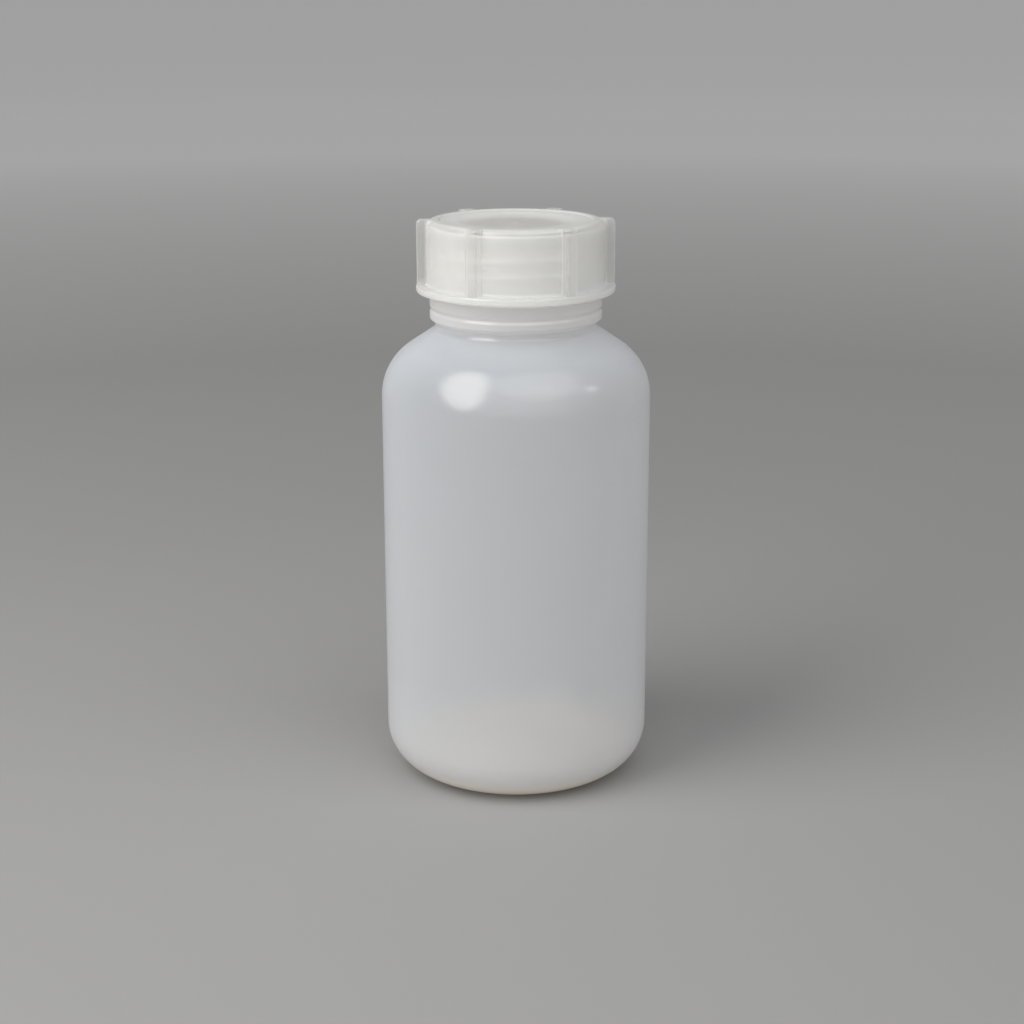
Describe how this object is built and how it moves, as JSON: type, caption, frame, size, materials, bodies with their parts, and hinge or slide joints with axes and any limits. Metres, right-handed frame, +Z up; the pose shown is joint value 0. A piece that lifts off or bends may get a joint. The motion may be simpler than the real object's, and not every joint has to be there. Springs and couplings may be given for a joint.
{
  "type": "wide-mouth bottle",
  "caption": "Round wide-mouth plastic bottle with a ribbed screw cap and a soft sealing ring.",
  "frame": {"origin": "middle of the base, on the surface that the bottle stands on", "axes": "+Z up along the bottle's axis, +X through the middle of one of the cap's ribs"},
  "size_m": [0.095, 0.095, 0.201],
  "materials": {
    "bottle_plastic": "natural low-density polyethylene, milky and see-through, with a soft gloss",
    "cap_plastic": "natural polypropylene, slightly warm white, see-through, satin",
    "seal_foam": "soft white closed-cell foam, matt"
  },
  "bodies": {
    "bottle": {"bottle": "bottle_plastic"},
    "seal": {"seal_ring": "seal_foam"},
    "cap": {"screw_cap": "cap_plastic"}
  },
  "joints": [
    {"name": "cap_rise", "type": "slide", "parent": "bottle", "child": "seal", "axis": [0, 0, 1], "range_m": [0, 0.0262]},
    {"name": "cap_turn", "type": "hinge", "parent": "seal", "child": "cap", "pos_m": [0, 0, 0.176], "axis": [0, 0, 1], "range_deg": [0, 1710]}
  ],
  "couplings": [
    {"joint": "cap_rise", "follows": "cap_turn", "m_per_rad": 0.00087535}
  ]
}
